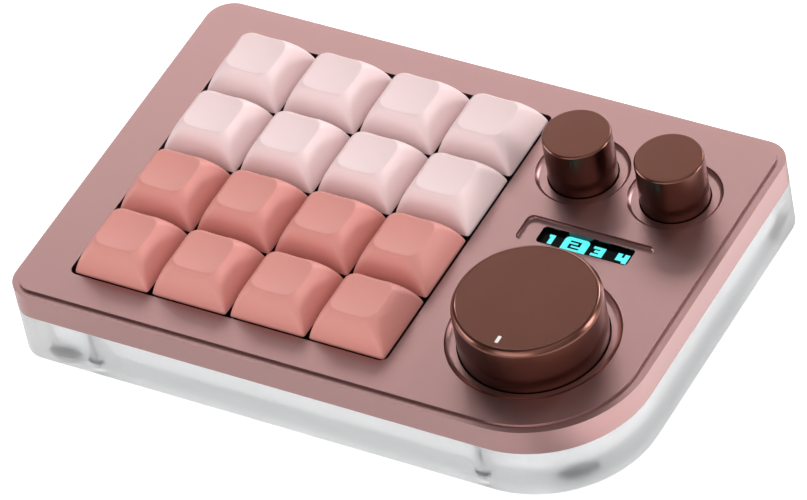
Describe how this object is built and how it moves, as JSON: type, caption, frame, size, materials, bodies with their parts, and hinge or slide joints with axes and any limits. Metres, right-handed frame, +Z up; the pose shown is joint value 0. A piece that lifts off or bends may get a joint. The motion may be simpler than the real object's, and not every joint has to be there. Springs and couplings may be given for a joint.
{
  "type": "macro keypad with knobs",
  "caption": "Low desk keypad: a square block of sculpted keys, small push knobs, a large dial and a narrow screen in a metal frame on a clear base.",
  "frame": {"origin": "under the middle of the case, level with the soles of the feet", "axes": "+X to the right, +Y to the back, +Z up"},
  "size_m": [0.1412, 0.0954, 0.0318],
  "materials": {
    "frame": "satin, dyed, fine grain",
    "base": "clear, polished",
    "keys_pale": "satin",
    "keys_coral": "satin",
    "stems": "satin",
    "plate": "satin",
    "covers": "satin",
    "plungers": "satin",
    "housings": "satin",
    "steel": "satin",
    "contacts": "polished",
    "black_plastic": "matte",
    "board": "satin",
    "knobs": "satin, dyed",
    "pointer": "satin",
    "screen": "polished",
    "feet": "matte"
  },
  "bodies": {
    "case": {"top_frame": "frame", "clear_base": "base", "switch_plate": "plate", "switch_covers": "covers", "switch_housings": "housings", "switch_springs": "steel", "switch_contacts": "contacts", "hot_swap_sockets": "black_plastic", "circuit_board": "board", "encoder_bodies": "black_plastic", "encoder_shells": "steel", "screen_glass": "screen", "screen_board": "board", "screen_header": "black_plastic", "usb_socket": "steel", "controller_chip": "black_plastic", "case_screws": "steel", "rubber_feet": "feet"},
    "key_r1c1": {"keycap_r1c1": "keys_pale", "switch_stem_r1c1": "stems"},
    "key_r1c2": {"keycap_r1c2": "keys_pale", "switch_stem_r1c2": "stems"},
    "key_r1c3": {"keycap_r1c3": "keys_pale", "switch_stem_r1c3": "stems"},
    "key_r1c4": {"keycap_r1c4": "keys_pale", "switch_stem_r1c4": "stems"},
    "key_r2c1": {"keycap_r2c1": "keys_pale", "switch_stem_r2c1": "stems"},
    "key_r2c2": {"keycap_r2c2": "keys_pale", "switch_stem_r2c2": "stems"},
    "key_r2c3": {"keycap_r2c3": "keys_pale", "switch_stem_r2c3": "stems"},
    "key_r2c4": {"keycap_r2c4": "keys_pale", "switch_stem_r2c4": "stems"},
    "key_r3c1": {"keycap_r3c1": "keys_coral", "switch_stem_r3c1": "stems"},
    "key_r3c2": {"keycap_r3c2": "keys_coral", "switch_stem_r3c2": "stems"},
    "key_r3c3": {"keycap_r3c3": "keys_coral", "switch_stem_r3c3": "stems"},
    "key_r3c4": {"keycap_r3c4": "keys_coral", "switch_stem_r3c4": "stems"},
    "key_r4c1": {"keycap_r4c1": "keys_coral", "switch_stem_r4c1": "stems"},
    "key_r4c2": {"keycap_r4c2": "keys_coral", "switch_stem_r4c2": "stems"},
    "key_r4c3": {"keycap_r4c3": "keys_coral", "switch_stem_r4c3": "stems"},
    "key_r4c4": {"keycap_r4c4": "keys_coral", "switch_stem_r4c4": "stems"},
    "push_left": {"push_plunger_left": "plungers"},
    "push_right": {"push_plunger_right": "plungers"},
    "push_large": {"push_plunger_large": "plungers"},
    "knob_left": {"encoder_shaft_left": "steel", "small_knob_left": "knobs"},
    "knob_right": {"encoder_shaft_right": "steel", "small_knob_right": "knobs"},
    "knob_large": {"encoder_shaft_large": "steel", "large_knob": "knobs", "large_knob_pointer": "pointer"}
  },
  "joints": [
    {"name": "press_r1c1", "type": "slide", "parent": "case", "child": "key_r1c1", "axis": [0, 0, -1], "range_m": [0, 0.004], "stiffness_N_per_m": 75, "springref_m": -0.004, "deforming": ["switch_springs"]},
    {"name": "press_r1c2", "type": "slide", "parent": "case", "child": "key_r1c2", "axis": [0, 0, -1], "range_m": [0, 0.004], "stiffness_N_per_m": 75, "springref_m": -0.004, "deforming": ["switch_springs"]},
    {"name": "press_r1c3", "type": "slide", "parent": "case", "child": "key_r1c3", "axis": [0, 0, -1], "range_m": [0, 0.004], "stiffness_N_per_m": 75, "springref_m": -0.004, "deforming": ["switch_springs"]},
    {"name": "press_r1c4", "type": "slide", "parent": "case", "child": "key_r1c4", "axis": [0, 0, -1], "range_m": [0, 0.004], "stiffness_N_per_m": 75, "springref_m": -0.004, "deforming": ["switch_springs"]},
    {"name": "press_r2c1", "type": "slide", "parent": "case", "child": "key_r2c1", "axis": [0, 0, -1], "range_m": [0, 0.004], "stiffness_N_per_m": 75, "springref_m": -0.004, "deforming": ["switch_springs"]},
    {"name": "press_r2c2", "type": "slide", "parent": "case", "child": "key_r2c2", "axis": [0, 0, -1], "range_m": [0, 0.004], "stiffness_N_per_m": 75, "springref_m": -0.004, "deforming": ["switch_springs"]},
    {"name": "press_r2c3", "type": "slide", "parent": "case", "child": "key_r2c3", "axis": [0, 0, -1], "range_m": [0, 0.004], "stiffness_N_per_m": 75, "springref_m": -0.004, "deforming": ["switch_springs"]},
    {"name": "press_r2c4", "type": "slide", "parent": "case", "child": "key_r2c4", "axis": [0, 0, -1], "range_m": [0, 0.004], "stiffness_N_per_m": 75, "springref_m": -0.004, "deforming": ["switch_springs"]},
    {"name": "press_r3c1", "type": "slide", "parent": "case", "child": "key_r3c1", "axis": [0, 0, -1], "range_m": [0, 0.004], "stiffness_N_per_m": 75, "springref_m": -0.004, "deforming": ["switch_springs"]},
    {"name": "press_r3c2", "type": "slide", "parent": "case", "child": "key_r3c2", "axis": [0, 0, -1], "range_m": [0, 0.004], "stiffness_N_per_m": 75, "springref_m": -0.004, "deforming": ["switch_springs"]},
    {"name": "press_r3c3", "type": "slide", "parent": "case", "child": "key_r3c3", "axis": [0, 0, -1], "range_m": [0, 0.004], "stiffness_N_per_m": 75, "springref_m": -0.004, "deforming": ["switch_springs"]},
    {"name": "press_r3c4", "type": "slide", "parent": "case", "child": "key_r3c4", "axis": [0, 0, -1], "range_m": [0, 0.004], "stiffness_N_per_m": 75, "springref_m": -0.004, "deforming": ["switch_springs"]},
    {"name": "press_r4c1", "type": "slide", "parent": "case", "child": "key_r4c1", "axis": [0, 0, -1], "range_m": [0, 0.004], "stiffness_N_per_m": 75, "springref_m": -0.004, "deforming": ["switch_springs"]},
    {"name": "press_r4c2", "type": "slide", "parent": "case", "child": "key_r4c2", "axis": [0, 0, -1], "range_m": [0, 0.004], "stiffness_N_per_m": 75, "springref_m": -0.004, "deforming": ["switch_springs"]},
    {"name": "press_r4c3", "type": "slide", "parent": "case", "child": "key_r4c3", "axis": [0, 0, -1], "range_m": [0, 0.004], "stiffness_N_per_m": 75, "springref_m": -0.004, "deforming": ["switch_springs"]},
    {"name": "press_r4c4", "type": "slide", "parent": "case", "child": "key_r4c4", "axis": [0, 0, -1], "range_m": [0, 0.004], "stiffness_N_per_m": 75, "springref_m": -0.004, "deforming": ["switch_springs"]},
    {"name": "push_left", "type": "slide", "parent": "case", "child": "push_left", "axis": [0, 0, -1], "range_m": [0, 0.0005], "stiffness_N_per_m": 1500, "springref_m": -0.001},
    {"name": "push_right", "type": "slide", "parent": "case", "child": "push_right", "axis": [0, 0, -1], "range_m": [0, 0.0005], "stiffness_N_per_m": 1500, "springref_m": -0.001},
    {"name": "push_large", "type": "slide", "parent": "case", "child": "push_large", "axis": [0, 0, -1], "range_m": [0, 0.0005], "stiffness_N_per_m": 1500, "springref_m": -0.001},
    {"name": "turn_left", "type": "hinge", "parent": "push_left", "child": "knob_left", "pos_m": [0.03105, 0.02595, 0.0208], "axis": [0, 0, 1], "continuous": true},
    {"name": "turn_right", "type": "hinge", "parent": "push_right", "child": "knob_right", "pos_m": [0.05295, 0.02595, 0.0208], "axis": [0, 0, 1], "continuous": true},
    {"name": "turn_large", "type": "hinge", "parent": "push_large", "child": "knob_large", "pos_m": [0.04335, -0.02075, 0.0208], "axis": [0, 0, 1], "continuous": true}
  ]
}
